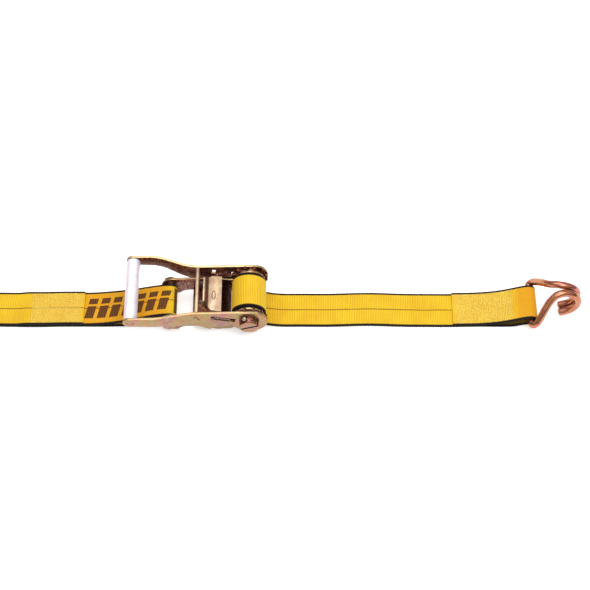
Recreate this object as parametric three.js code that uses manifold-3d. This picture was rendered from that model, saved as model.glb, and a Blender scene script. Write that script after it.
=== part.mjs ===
// Ratchet tie down for 2 inch webbing: a long-handled ratchet between a short fixed strap and a
// long load strap, each ending in a double wire J-hook. Closed and lying flat on its webbing.
//
// Millimetres, +Z up, +X towards the load end. The ratchet spool turns about a Y axis above the
// origin, and Z = 0 is the surface that the webbing and the hook tips lie on.

import * as THREE from 'three';
import { mergeVertices } from 'three/addons/utils/BufferGeometryUtils.js';
import Module from 'manifold-3d';

const wasm = await Module();
wasm.setup();

// ---------------------------------------------------------------- driving dimensions

const GAP = 0.3;

const WEB_WIDTH = 50.8;
const WEB_THICK = 2.4;
const LAYER = WEB_THICK + GAP;
const LAYER_1 = WEB_THICK / 2;
const LAYER_2 = LAYER_1 + LAYER;
const LAYER_3 = LAYER_2 + LAYER;

const AXIS_Z = 36;
const MANDREL_R = 12.5;
const MANDREL_NEAR = -46;
const MANDREL_FAR = 42.4;
const MANDREL_SLOT = 3;
const SLOT_TILT = 22;
const COTTER_NEAR = -40.5;
const COTTER_FAR = 40.1;
const COTTER_R = 1.6;
const COTTER_HEAD_R = 3;
const COTTER_REACH = MANDREL_R + 2.5;
const ROLL_R = 23.8;
const BORE_R = MANDREL_R + GAP;

const FRAME_IN = 26.6;
const FRAME_OUT = 29.1;
const WHEEL_IN = FRAME_OUT + GAP;
const WHEEL_OUT = 33.4;
const ARM_THICK = 3;
const ARM_IN = 33.8;
const ARM_SPREAD = 11.7;
const ARM_END_IN = ARM_IN + ARM_SPREAD;

const TEETH = 12;
const TOOTH_TIP_R = 24.5;
const TOOTH_ROOT_R = 18.5;
const TOOTH_PITCH = 360 / TEETH;
const TOOTH_PHASE = 16.5;
const TOOTH_FLOOR = 14;
const TOOTH_RAMP_END = 26;

const BOLT = { x: -106, z: 20.5, r: 4.8, nut: 8 };
const SLEEVE_R = 6.5;

const CAM_R = 24.2;
const CAM_TOP = AXIS_Z + 21.8;
const CAM_BOTTOM = AXIS_Z - 21;
const GRIP = { x: -153.5, z: 52.3, r: 8.8, rod: 4.5, end: 9.3 };

const PAWL_THICK = 4;
const DRIVE_PAWL = { x: -24.7, z: 39.6, pitch: 12.9, length: 21, forward: 5, back: 3 };
const LOCK_PAWL = { x: -19.4, z: 28, pitch: -15, length: 24, forward: 0, back: 5 };

const CROSSBAR = { back: -70.5, front: -65.7, low: 42, high: 56 };
const SPRING = { r: 2.6, wire: 0.45, turns: 5, y: 14 };

const WIRE_R = 5;
const HOOK_X = 372;
const HOOK_BAR_Z = 15.5;
const HOOK_BEND_X = 407;
const HOOK_BEND_R = 26;
const HOOK_WIRE_Y = 5.5;
const LOOP_R = 8;

const HEM_X = 270.5;
const FIXED_HEM_X = -222;
const FIXED_TAIL_X = -298;

// ---------------------------------------------------------------- materials

function metal(color, roughness) {
  return new THREE.MeshStandardMaterial({ color, roughness, metalness: 0.9 });
}

const yellowZinc = () => metal(0xc9a06a, 0.35);
const brightZinc = () => metal(0xe6dccb, 0.3);
const wheelZinc = () => metal(0x9a7a5a, 0.45);
const hookZinc = () => metal(0xcd9472, 0.35);
const springSteel = () => metal(0x8c8a86, 0.3);
const webbing = () => new THREE.MeshStandardMaterial({ color: 0xf5c832, roughness: 0.85, metalness: 0 });
const sleeveWhite = () => new THREE.MeshStandardMaterial({ color: 0xf2eaf0, roughness: 0.4, metalness: 0.3 });

// ---------------------------------------------------------------- solids

const rad = THREE.MathUtils.degToRad;

function toSolid(geometry) {
  const bare = geometry.clone();
  bare.deleteAttribute('normal');
  bare.deleteAttribute('uv');
  const merged = mergeVertices(bare, 1e-4);
  const vertProperties = new Float32Array(merged.attributes.position.array);
  const triVerts = new Uint32Array(merged.index.array);
  return new wasm.Manifold(new wasm.Mesh({ numProp: 3, vertProperties, triVerts }));
}

function toGeometry(solid) {
  const mesh = solid.getMesh();
  const geometry = new THREE.BufferGeometry();
  geometry.setAttribute('position', new THREE.BufferAttribute(mesh.vertProperties, 3));
  geometry.setIndex(new THREE.BufferAttribute(mesh.triVerts, 1));
  geometry.computeVertexNormals();
  return geometry;
}

function combine(how, base, ...others) {
  let solid = toSolid(base);
  for (const other of others) {
    solid = solid[how](toSolid(other));
  }
  return toGeometry(solid);
}

// A shape drawn in X and Z, extruded between two Y planes.
function extrudeY(shape, y0, y1, curveSegments = 16) {
  const geometry = new THREE.ExtrudeGeometry(shape, { depth: y1 - y0, bevelEnabled: false, curveSegments });
  geometry.rotateX(Math.PI / 2);
  geometry.translate(0, y1, 0);
  return geometry;
}

// A shape drawn in X and Y, extruded between two Z planes.
function extrudeZ(shape, z0, z1) {
  const geometry = new THREE.ExtrudeGeometry(shape, { depth: z1 - z0, bevelEnabled: false });
  geometry.translate(0, 0, z0);
  return geometry;
}

function rodY(radius, x, z, y0, y1, segments = 32) {
  const geometry = new THREE.CylinderGeometry(radius, radius, y1 - y0, segments);
  geometry.translate(x, (y0 + y1) / 2, z);
  return geometry;
}

function boxAt(x0, x1, y0, y1, z0, z1) {
  const geometry = new THREE.BoxGeometry(x1 - x0, y1 - y0, z1 - z0);
  geometry.translate((x0 + x1) / 2, (y0 + y1) / 2, (z0 + z1) / 2);
  return geometry;
}

function circlePath(x, z, radius) {
  return new THREE.Path().absarc(x, z, radius, 0, 2 * Math.PI, false);
}

function ribbonShape(path, divisions) {
  const middle = path.getPoints(divisions);
  const upper = [];
  const lower = [];
  middle.forEach((point, i) => {
    const before = middle[Math.max(i - 1, 0)];
    const after = middle[Math.min(i + 1, middle.length - 1)];
    const along = after.clone().sub(before).normalize().multiplyScalar(WEB_THICK / 2);
    upper.push(new THREE.Vector2(point.x - along.y, point.y + along.x));
    lower.push(new THREE.Vector2(point.x + along.y, point.y - along.x));
  });
  return new THREE.Shape(lower.concat(upper.reverse()));
}

function wireAlong(curve, radius, sides, steps) {
  const section = new THREE.Shape().absarc(0, 0, radius, 0, 2 * Math.PI, false);
  return new THREE.ExtrudeGeometry(section, { extrudePath: curve, steps, curveSegments: sides });
}

// ---------------------------------------------------------------- scene graph

const tieDown = new THREE.Group();

function addPart(name, geometry, material) {
  const mesh = new THREE.Mesh(geometry, material);
  mesh.name = name;
  tieDown.add(mesh);
  return mesh;
}

function eachSide(build) {
  build('near', -1);
  build('far', 1);
}

// Runs an extrusion between an inner and an outer distance from the middle plane, on one side.
function sideExtrude(shape, side, inner, outer) {
  const [y0, y1] = side > 0 ? [inner, outer] : [-outer, -inner];
  return extrudeY(shape, y0, y1, 10);
}

// ---------------------------------------------------------------- ratchet wheel and spool

function polar(radius, degrees) {
  const angle = rad(degrees);
  return new THREE.Vector2(radius * Math.cos(angle), AXIS_Z + radius * Math.sin(angle));
}

// Saw teeth: a steep flank, a flat floor, then a ramp back up to the tip.
function wheelOutline(grow) {
  const lean = THREE.MathUtils.radToDeg(grow / TOOTH_ROOT_R);
  const tip = TOOTH_TIP_R + grow;
  const root = TOOTH_ROOT_R + grow;
  const points = [];
  for (let i = 0; i < TEETH; i += 1) {
    const flank = TOOTH_PHASE + i * TOOTH_PITCH;
    points.push(polar(tip, flank + lean));
    points.push(polar(root, flank + lean));
    points.push(polar(root, flank + TOOTH_FLOOR));
    points.push(polar(tip, flank + TOOTH_RAMP_END - lean));
  }
  return new THREE.Shape(points);
}

// One half of a round bar that is split by a flat slot, turned to the slot's tilt.
function halfMoon(PathType, radius, chord, turn) {
  const open = Math.asin(chord / radius);
  const path = new PathType();
  path.absarc(0, 0, radius, open, Math.PI - open, false);
  path.closePath();
  const points = path.getPoints(20).map((point) => {
    return point.rotateAround(new THREE.Vector2(), rad(SLOT_TILT + turn)).add(new THREE.Vector2(0, AXIS_Z));
  });
  return new PathType(points);
}

function wheelGeometry(side) {
  const shape = wheelOutline(0);
  const bridge = MANDREL_SLOT / 2 - GAP;
  shape.holes.push(halfMoon(THREE.Path, BORE_R, bridge, 0));
  shape.holes.push(halfMoon(THREE.Path, BORE_R, bridge, 180));
  return sideExtrude(shape, side, WHEEL_IN, WHEEL_OUT);
}

function cotterRod(radius, length, side) {
  const rod = new THREE.CylinderGeometry(radius, radius, length, 12);
  rod.rotateX(Math.PI / 2);
  rod.rotateY(-rad(SLOT_TILT));
  rod.translate(0, side > 0 ? COTTER_FAR : COTTER_NEAR, AXIS_Z);
  return rod;
}

// A headed pin across both halves. The near pin is headed at its top and the far pin below.
function cotterGeometry(side) {
  const shank = cotterRod(COTTER_R, 2 * COTTER_REACH, side);
  const head = new THREE.SphereGeometry(COTTER_HEAD_R, 12, 6);
  const spot = polar(-side * COTTER_REACH, SLOT_TILT + 90);
  head.translate(spot.x, side > 0 ? COTTER_FAR : COTTER_NEAR, spot.y);
  return combine('add', shank, head);
}

function mandrelHalf(turn) {
  const half = extrudeY(halfMoon(THREE.Shape, MANDREL_R, MANDREL_SLOT / 2, turn), MANDREL_NEAR, MANDREL_FAR);
  const drills = [-1, 1].map((side) => cotterRod(COTTER_R + GAP, 4 * MANDREL_R, side));
  return combine('subtract', half, ...drills);
}

function woundWebbing() {
  const ring = new THREE.Shape().absarc(0, AXIS_Z, ROLL_R, 0, 2 * Math.PI, false);
  ring.holes.push(circlePath(0, AXIS_Z, BORE_R));
  const roll = extrudeY(ring, -WEB_WIDTH / 2, WEB_WIDTH / 2, 24);
  const through = boxAt(-BORE_R - 1, BORE_R + 1, -WEB_WIDTH / 2, WEB_WIDTH / 2, -WEB_THICK / 2, WEB_THICK / 2);
  through.rotateY(-rad(SLOT_TILT));
  through.translate(0, 0, AXIS_Z);
  return combine('add', roll, through);
}

function buildSpool() {
  addPart('mandrel_half_upper', mandrelHalf(0), yellowZinc());
  addPart('mandrel_half_lower', mandrelHalf(180), yellowZinc());
  addPart('wound_webbing', woundWebbing(), webbing());
  eachSide((name, side) => {
    addPart(`ratchet_wheel_${name}`, wheelGeometry(side), wheelZinc());
    addPart(`cotter_pin_${name}`, cotterGeometry(side), springSteel());
  });
}

// ---------------------------------------------------------------- pawls

// A pawl's own frame: X runs forward to its tip at x = 0, and Z is across its thickness.
function pawlSlot(pawl, play, clearance) {
  const half = PAWL_THICK / 2 + clearance;
  const front = pawl.forward + play;
  const rear = -pawl.length - pawl.back - play;
  const slot = new THREE.Shape();
  slot.moveTo(rear, -half).lineTo(front, -half).lineTo(front, half).lineTo(rear, half).closePath();
  return slot;
}

function pawlSlotCutter(pawl, reach, play, clearance) {
  const cutter = extrudeY(pawlSlot(pawl, play, clearance), -reach, reach);
  cutter.rotateY(rad(pawl.pitch));
  cutter.translate(pawl.x, 0, pawl.z);
  return cutter;
}

// The space of both wheels with clearance all round, seen from a pawl that is fully forward.
function wheelClearance(pawl) {
  const wheels = extrudeY(wheelOutline(0.4), -ARM_IN, ARM_IN);
  wheels.translate(-pawl.x, 0, -pawl.z);
  wheels.rotateY(-rad(pawl.pitch));
  wheels.translate(-pawl.forward, 0, 0);
  return wheels;
}

// A plate with a side tab in each wheel's plane and its middle set back from the wound webbing.
function pawlPlan(tabEnd, tabBack, middleFront, middleBack, chamfer) {
  const tabIn = WHEEL_IN + 0.1;
  const middle = FRAME_IN - 0.6;
  const plan = new THREE.Shape();
  plan.moveTo(0, -tabEnd).lineTo(0, -tabIn).lineTo(middleFront, -tabIn);
  plan.lineTo(middleFront, tabIn).lineTo(0, tabIn).lineTo(0, tabEnd);
  plan.lineTo(tabBack, tabEnd).lineTo(tabBack, middle);
  plan.lineTo(middleBack + chamfer, middle).lineTo(middleBack, middle - chamfer);
  plan.lineTo(middleBack, chamfer - middle).lineTo(middleBack + chamfer, -middle);
  plan.lineTo(tabBack, -middle).lineTo(tabBack, -tabEnd).closePath();
  return plan;
}

function placePawl(name, geometry, pawl, material) {
  const mesh = addPart(name, geometry, material);
  mesh.position.set(pawl.x, 0, pawl.z);
  mesh.rotation.y = rad(pawl.pitch);
}

// The finger lip is bent up behind the plate, and its ends slope down to the plate's corners.
function fingerLip(back) {
  const profile = new THREE.Shape();
  profile.moveTo(back + 1, -PAWL_THICK / 2);
  profile.quadraticCurveTo(back - 4, -2, back - 5, 3);
  profile.lineTo(back - 9, 10.2);
  profile.lineTo(back - 6.3, 11);
  profile.lineTo(back - 2.2, 4);
  profile.quadraticCurveTo(back - 1.4, 2, back + 1, PAWL_THICK / 2);
  profile.closePath();
  const bend = extrudeY(profile, -FRAME_IN, FRAME_IN, 8);
  const front = new THREE.Shape();
  front.moveTo(-23, -3).lineTo(23, -3).lineTo(23, 1).lineTo(17, 12).lineTo(-17, 12).lineTo(-23, 1).closePath();
  const window = extrudeZ(front, back - 12, back + 4);
  window.rotateX(Math.PI / 2);
  window.rotateZ(Math.PI / 2);
  return combine('intersect', bend, window);
}

function drivePawlGeometry() {
  const back = -29.5;
  const plan = pawlPlan(ARM_IN + ARM_THICK - 0.6, -DRIVE_PAWL.length, -12.5, back, 3.5);
  const plate = extrudeZ(plan, -PAWL_THICK / 2, PAWL_THICK / 2);
  const whole = combine('add', plate, fingerLip(back));
  return combine('subtract', whole, wheelClearance(DRIVE_PAWL));
}

function lockPawlGeometry() {
  const plan = pawlPlan(WHEEL_OUT, -LOCK_PAWL.length, -5.5, -LOCK_PAWL.length - 0.01, 0);
  const plate = extrudeZ(plan, -PAWL_THICK / 2, PAWL_THICK / 2);
  return combine('subtract', plate, wheelClearance(LOCK_PAWL));
}

class Helix extends THREE.Curve {
  constructor(length) {
    super();
    this.length = length;
  }

  getPoint(t, target = new THREE.Vector3()) {
    const turn = 2 * Math.PI * SPRING.turns * t;
    return target.set(this.length * t, SPRING.r * Math.cos(turn), SPRING.r * Math.sin(turn));
  }
}

// A compression spring that runs back from a pawl, starting at x = start in the pawl's frame.
function springBehind(name, pawl, start, length) {
  eachSide((sideName, side) => {
    const coil = wireAlong(new Helix(-length), SPRING.wire, 3, 8 * SPRING.turns);
    coil.translate(start, side * SPRING.y, 0);
    placePawl(`${name}_${sideName}`, coil, pawl, springSteel());
  });
}

function buildPawls() {
  placePawl('drive_pawl', drivePawlGeometry(), DRIVE_PAWL, brightZinc());
  placePawl('lock_pawl', lockPawlGeometry(), LOCK_PAWL, yellowZinc());
  springBehind('drive_spring', DRIVE_PAWL, -35, 6.2);
  springBehind('lock_spring', LOCK_PAWL, -25, 6.4);
}

// ---------------------------------------------------------------- frame

function frameOutline() {
  const s = new THREE.Shape();
  s.absarc(-101, 19.2, 17.5, rad(85), rad(292), false);
  s.quadraticCurveTo(-90, 9.5, -82, 10.2);
  s.lineTo(-63, 10.5);
  s.quadraticCurveTo(-55, 9.5, -50, 5);
  s.quadraticCurveTo(-46, 2.2, -41, 2.5);
  s.lineTo(-28, 3.8);
  s.quadraticCurveTo(-22, 4.6, -20, 10);
  s.absarc(0, AXIS_Z, 20, rad(232), rad(540), false);
  s.lineTo(-28, AXIS_Z - 0.5);
  s.quadraticCurveTo(-40, 38.6, -52, 38.6);
  s.lineTo(-75, 38.4);
  s.closePath();
  s.holes.push(circlePath(0, AXIS_Z, BORE_R));
  s.holes.push(circlePath(BOLT.x, BOLT.z, BOLT.r + GAP));
  return s;
}

function framePlate(side) {
  const plate = sideExtrude(frameOutline(), side, FRAME_IN, FRAME_OUT);
  return combine('subtract', plate, pawlSlotCutter(LOCK_PAWL, FRAME_OUT + 5, 0.8, 0.4));
}

// An angle plate that spaces the side plates and backs the lock springs.
function frameBase() {
  const s = new THREE.Shape();
  s.moveTo(-76, 11.2).lineTo(-51, 11.2).lineTo(-51, 25);
  s.lineTo(-53.5, 25).lineTo(-53.5, 13.8).lineTo(-76, 13.8).closePath();
  return extrudeY(s, GAP - FRAME_IN, FRAME_IN - GAP);
}

function hexagon(x, z, acrossFlats) {
  const points = [];
  for (let i = 0; i < 6; i += 1) {
    const angle = rad(60 * i + 30);
    const corner = acrossFlats / 2 / Math.cos(rad(30));
    points.push(new THREE.Vector2(x + corner * Math.cos(angle), z + corner * Math.sin(angle)));
  }
  return new THREE.Shape(points);
}

function anchorBolt() {
  const shank = rodY(BOLT.r, BOLT.x, BOLT.z, -FRAME_OUT - 2, FRAME_OUT + 7.5);
  const head = extrudeY(hexagon(BOLT.x, BOLT.z, 2 * BOLT.nut), -FRAME_OUT - 6.3, -FRAME_OUT - GAP);
  return combine('add', shank, head);
}

function anchorNut() {
  const shape = hexagon(BOLT.x, BOLT.z, 2 * BOLT.nut);
  shape.holes.push(circlePath(BOLT.x, BOLT.z, BOLT.r + GAP));
  return extrudeY(shape, FRAME_OUT + GAP, FRAME_OUT + 6.5);
}

function anchorSleeve() {
  const ring = new THREE.Shape().absarc(BOLT.x, BOLT.z, SLEEVE_R, 0, 2 * Math.PI, false);
  ring.holes.push(circlePath(BOLT.x, BOLT.z, BOLT.r + GAP));
  return extrudeY(ring, GAP - FRAME_IN, FRAME_IN - GAP);
}

function buildFrame() {
  eachSide((name, side) => addPart(`frame_plate_${name}`, framePlate(side), yellowZinc()));
  addPart('frame_base', frameBase(), wheelZinc());
  addPart('anchor_bolt', anchorBolt(), yellowZinc());
  addPart('anchor_nut', anchorNut(), yellowZinc());
  addPart('anchor_sleeve', anchorSleeve(), springSteel());
}

// ---------------------------------------------------------------- handle

function armOutline() {
  const flatTop = Math.asin((CAM_TOP - AXIS_Z) / CAM_R);
  const flatBottom = Math.asin((AXIS_Z - CAM_BOTTOM) / CAM_R);
  const s = new THREE.Shape();
  s.absarc(0, AXIS_Z, CAM_R, -flatBottom, flatTop, false);
  s.lineTo(-20, CAM_TOP - 0.3);
  s.bezierCurveTo(-45, 56.6, -75, 54.8, -92, 57);
  s.bezierCurveTo(-108, 59.2, -118, 62.6, -142, 61.6);
  s.absarc(GRIP.x, GRIP.z, GRIP.end, rad(90), rad(270), false);
  s.bezierCurveTo(-125, 43, -112, 41, -100, 34.5);
  s.bezierCurveTo(-88, 28.5, -74, 28.5, -64, 23);
  s.lineTo(-54.5, 16.6);
  s.quadraticCurveTo(-51.5, 15, -50, 17.5);
  s.lineTo(-47.5, 20.6);
  s.lineTo(-24.5, 26.7);
  s.absarc(0, AXIS_Z, CAM_R, rad(203), Math.PI + flatBottom, false);
  s.closePath();
  return s;
}

// The arm stands straight beside the wheel and swings outward to the grip.
function armPlan(side) {
  const stations = [];
  const bendFrom = -68;
  const bendTo = -130;
  const bendSteps = 14;
  stations.push([30, 0]);
  for (let i = 0; i <= bendSteps; i += 1) {
    const t = i / bendSteps;
    stations.push([bendFrom + (bendTo - bendFrom) * t, ARM_SPREAD * THREE.MathUtils.smoothstep(t, 0, 1)]);
  }
  stations.push([-170, ARM_SPREAD]);
  const inner = stations.map(([x, out]) => new THREE.Vector2(x, side * (ARM_IN + out)));
  const outer = stations.map(([x, out]) => new THREE.Vector2(x, side * (ARM_IN + ARM_THICK + out)));
  return new THREE.Shape(inner.concat(outer.reverse()));
}

function handleArm(side) {
  const wall = extrudeZ(armPlan(side), 0, 80);
  const silhouette = sideExtrude(armOutline(), side, ARM_IN - 5, ARM_END_IN + 10);
  const arm = combine('intersect', wall, silhouette);
  const bore = rodY(BORE_R, 0, AXIS_Z, -60, 60, 40);
  const rodHole = rodY(GRIP.rod + GAP, GRIP.x, GRIP.z, -60, 60);
  return combine('subtract', arm, bore, rodHole, pawlSlotCutter(DRIVE_PAWL, ARM_END_IN, 2, 2.4));
}

function gripSleeve() {
  const ring = new THREE.Shape().absarc(GRIP.x, GRIP.z, GRIP.r, 0, 2 * Math.PI, false);
  ring.holes.push(circlePath(GRIP.x, GRIP.z, GRIP.rod + GAP));
  return extrudeY(ring, GAP - ARM_END_IN, ARM_END_IN - GAP);
}

function crossbarGeometry() {
  const { back, front, low, high } = CROSSBAR;
  const s = new THREE.Shape();
  s.moveTo(back, low).lineTo(front, low).lineTo(front, high - 2);
  s.quadraticCurveTo(front, high, (front + back) / 2, high);
  s.quadraticCurveTo(back, high, back, high - 2);
  s.closePath();
  return extrudeY(s, GAP - ARM_IN, ARM_IN - GAP, 8);
}

function buildHandle() {
  eachSide((name, side) => addPart(`handle_arm_${name}`, handleArm(side), yellowZinc()));
  addPart('grip_rod', rodY(GRIP.rod, GRIP.x, GRIP.z, -ARM_END_IN - ARM_THICK, ARM_END_IN + ARM_THICK), yellowZinc());
  addPart('grip_sleeve', gripSleeve(), sleeveWhite());
  addPart('crossbar', crossbarGeometry(), brightZinc());
}

// ---------------------------------------------------------------- webbing

// The load strap leaves the underside of the roll, runs out flat, and is sewn back on itself
// round the hook's bar.
function loadStrapPath() {
  const path = new THREE.Path();
  const underRoll = AXIS_Z - ROLL_R - GAP - WEB_THICK / 2;
  path.moveTo(-3, underRoll);
  path.bezierCurveTo(20, underRoll, 22, LAYER_1, 50, LAYER_1);
  path.lineTo(HOOK_X - 30, LAYER_1);
  path.bezierCurveTo(HOOK_X - 16, LAYER_1, HOOK_X - 12, HOOK_BAR_Z - LOOP_R, HOOK_X, HOOK_BAR_Z - LOOP_R);
  path.absarc(HOOK_X, HOOK_BAR_Z, LOOP_R, rad(-90), rad(90), false);
  path.bezierCurveTo(HOOK_X - 14, HOOK_BAR_Z + LOOP_R, HOOK_X - 30, LAYER_2 + 1.6, HOOK_X - 78, LAYER_2);
  path.lineTo(HEM_X, LAYER_2);
  return path;
}

// The fixed strap is one length: hem, hook loop, bottom layer, anchor loop, and a tail that is
// sewn in between the other two layers.
function fixedStrapPath() {
  const path = new THREE.Path();
  const anchorR = SLEEVE_R + 0.4 + WEB_THICK / 2;
  path.moveTo(FIXED_HEM_X, LAYER_3);
  path.lineTo(FIXED_TAIL_X + 2, LAYER_3);
  path.bezierCurveTo(FIXED_TAIL_X - 5, LAYER_3, FIXED_TAIL_X - 9, LAYER_2, FIXED_TAIL_X - 18, LAYER_2);
  path.lineTo(34 - HOOK_X, LAYER_2);
  path.bezierCurveTo(16 - HOOK_X, LAYER_2, 14 - HOOK_X, HOOK_BAR_Z + LOOP_R, -HOOK_X, HOOK_BAR_Z + LOOP_R);
  path.absarc(-HOOK_X, HOOK_BAR_Z, LOOP_R, rad(90), rad(270), false);
  path.bezierCurveTo(12 - HOOK_X, HOOK_BAR_Z - LOOP_R, 16 - HOOK_X, LAYER_1, 30 - HOOK_X, LAYER_1);
  path.lineTo(-152, LAYER_1);
  path.bezierCurveTo(-130, LAYER_1, -122, BOLT.z - anchorR, BOLT.x, BOLT.z - anchorR);
  path.absarc(BOLT.x, BOLT.z, anchorR, rad(-90), rad(90), false);
  path.bezierCurveTo(-135, BOLT.z + anchorR, -165, LAYER_2, -224, LAYER_2);
  path.lineTo(FIXED_TAIL_X, LAYER_2);
  return path;
}

function strapGeometry(path) {
  return extrudeY(ribbonShape(path, 10), -WEB_WIDTH / 2, WEB_WIDTH / 2);
}

function buildStraps() {
  addPart('load_strap', strapGeometry(loadStrapPath()), webbing());
  addPart('fixed_strap', strapGeometry(fixedStrapPath()), webbing());
}

// ---------------------------------------------------------------- hooks

// Half of the hook wire, from its tip round the J and down a leg to the middle of the bar.
function hookHalf(side) {
  const points = [];
  const bendZ = WIRE_R + HOOK_BEND_R;
  for (let degrees = -75; degrees <= 75; degrees += 30) {
    const x = HOOK_BEND_X + HOOK_BEND_R * Math.cos(rad(degrees));
    const z = bendZ + HOOK_BEND_R * Math.sin(rad(degrees));
    points.push(new THREE.Vector3(x, side * HOOK_WIRE_Y, z));
  }
  points.push(new THREE.Vector3(HOOK_X + 30, side * 8.2, 55));
  points.push(new THREE.Vector3(HOOK_X + 22, side * 13, 48.2));
  points.push(new THREE.Vector3(HOOK_X + 16, side * 20, 40));
  points.push(new THREE.Vector3(HOOK_X + 10.5, side * 27.6, 29));
  points.push(new THREE.Vector3(HOOK_X + 6, side * 31.6, 21.5));
  points.push(new THREE.Vector3(HOOK_X + 1.8, side * 30.6, 16.6));
  points.push(new THREE.Vector3(HOOK_X, side * 22, HOOK_BAR_Z));
  return points;
}

function hookGeometry() {
  const bar = new THREE.Vector3(HOOK_X, 0, HOOK_BAR_Z);
  const route = hookHalf(1).concat([bar], hookHalf(-1).reverse());
  return wireAlong(new THREE.CatmullRomCurve3(route, false, 'centripetal'), WIRE_R, 5, 76);
}

function buildHooks() {
  addPart('load_hook', hookGeometry(), hookZinc());
  const fixedHook = addPart('fixed_hook', hookGeometry(), hookZinc());
  fixedHook.rotation.z = Math.PI;
}

buildFrame();
buildSpool();
buildPawls();
buildHandle();
buildStraps();
buildHooks();

export default tieDown;
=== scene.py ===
"""Looks for the ratchet tie down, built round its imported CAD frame.

Metres throughout, +Z up, +X towards the load strap's hook. Named sizes and those repeated from the CAD are in
millimetres, and are multiplied by MM where they are used.
"""

import math

import bmesh
import bpy
import numpy as np
from mathutils import Matrix, Vector


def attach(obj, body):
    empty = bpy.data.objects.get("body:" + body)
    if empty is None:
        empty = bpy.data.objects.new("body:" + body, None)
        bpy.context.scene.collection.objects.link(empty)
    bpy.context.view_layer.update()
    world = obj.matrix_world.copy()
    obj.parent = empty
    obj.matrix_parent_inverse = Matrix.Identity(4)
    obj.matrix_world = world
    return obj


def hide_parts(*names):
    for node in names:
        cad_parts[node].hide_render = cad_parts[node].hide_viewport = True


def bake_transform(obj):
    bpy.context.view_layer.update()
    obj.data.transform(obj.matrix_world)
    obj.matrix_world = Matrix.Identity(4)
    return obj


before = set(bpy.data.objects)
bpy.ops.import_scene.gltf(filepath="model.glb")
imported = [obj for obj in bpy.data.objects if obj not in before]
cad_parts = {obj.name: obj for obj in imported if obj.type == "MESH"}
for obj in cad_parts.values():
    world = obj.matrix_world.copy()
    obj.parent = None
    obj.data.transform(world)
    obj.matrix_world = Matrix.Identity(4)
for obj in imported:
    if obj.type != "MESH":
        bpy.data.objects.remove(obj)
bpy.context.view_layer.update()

MM = 0.001

WEB_WIDTH = 50.8
WEB_THICK = 2.4
LAYER_1, LAYER_2, LAYER_3 = 1.2, 3.9, 6.6
RIB_PITCH = 2.3
SELVAGE = 3.2
WARP_PITCH = 1.05
EYE_RISE = 1.6

AXIS_Z = 36.0
ROLL_R, ROLL_BORE, ROLL_WIDTH = 23.8, 12.8, 49.4

BOLT_X, BOLT_Z, ANCHOR_R = -106.0, 20.5, 8.1
GRIP_X, GRIP_Z, GRIP_R, GRIP_BORE, GRIP_HALF = -153.5, 52.3, 8.8, 4.8, 45.2

WIRE_R = 5.0
HOOK_X, HOOK_BAR_Z = 372.0, 15.5
HOOK_BEND_X, HOOK_BEND_R, HOOK_WIRE_Y = 407.0, 26.0, 5.5
LOOP_R = 8.0
HEM_X, FIXED_HEM_X, FIXED_TAIL_X = 270.5, -222.0, -298.0

STITCH_ROWS, STITCH_SWING, STITCH_PITCH, STITCH_HALF, THREAD_R = 13, 1.35, 1.7, 20.8, 0.34

# A pawl's X and Z and its pitch in degrees.
DRIVE_PAWL = (-24.7, 39.6, 12.9)
LOCK_PAWL = (-19.4, 28.0, -15.0)
SPRING_Y, SPRING_R, SPRING_WIRE_R = 14.0, 2.6, 0.38
SPRING_TURNS, STEPS_PER_TURN = 4, 28

ARM_MARK_X, ARM_FACE_Y, ARM_MARK_Z, MARK_THICK = -69.4, 36.8, 43.0, 0.16
SHARP_EDGE = math.radians(38)

# ---------------------------------------------------------------- camera, light and floor


def add_camera():
    camera = bpy.data.objects.new("camera", bpy.data.cameras.new("camera"))
    camera.data.lens = 85.9
    camera.data.sensor_width = 36
    camera.location = (0.060, -0.9259, 1.6454)
    camera.rotation_euler = (math.radians(30), 0, 0)
    bpy.context.scene.collection.objects.link(camera)
    bpy.context.scene.camera = camera


def add_softbox(name, place, aim, size, power, colour=(1, 1, 1)):
    data = bpy.data.lights.new(name, "AREA")
    data.shape = "RECTANGLE"
    data.size, data.size_y = size
    data.energy = power
    data.color = colour
    light = bpy.data.objects.new(name, data)
    light.location = place
    light.rotation_euler = (Vector(aim) - Vector(place)).to_track_quat("-Z", "Y").to_euler()
    bpy.context.scene.collection.objects.link(light)


def add_world():
    """Light from above that falls off to dark at the horizon, which gives the metal something to reflect."""
    world = bpy.data.worlds.new("studio")
    world.use_nodes = True
    nodes, links = world.node_tree.nodes, world.node_tree.links
    background = nodes["Background"]
    background.inputs["Strength"].default_value = 0.84
    height = nodes.new("ShaderNodeSeparateXYZ")
    links.new(nodes.new("ShaderNodeTexCoord").outputs["Generated"], height.inputs[0])
    rise = nodes.new("ShaderNodeValToRGB")
    dark, light = rise.color_ramp.elements
    dark.position, dark.color = 0.12, (0.10, 0.08, 0.08, 1)
    light.position, light.color = 0.55, (0.97, 0.98, 1.0, 1)
    links.new(height.outputs["Z"], rise.inputs[0])
    links.new(rise.outputs[0], background.inputs["Color"])
    bpy.context.scene.world = world
    bpy.context.scene.view_settings.view_transform = "Standard"


def add_floor():
    """A sheet of white paper that glows a little, so that it stays white away from the object."""
    n = Nodes("floor_paper")
    tone = n.mix(n.noise(3.0, 2.0, 0.5), rgba(250, 250, 250), rgba(246, 246, 247))
    n.shader.inputs["Emission Color"].default_value = (1, 1, 1, 1)
    n.shader.inputs["Emission Strength"].default_value = 0.34
    n.finish(Base_Color=tone, Roughness=0.9)
    half = 4
    corners = [(-half, -half, 0), (half, -half, 0), (half, half, 0), (-half, half, 0)]
    floor = new_piece("floor", corners, [(0, 1, 2, 3)], n.material)
    floor.location.z = -0.0002


# ---------------------------------------------------------------- material nodes


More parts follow.
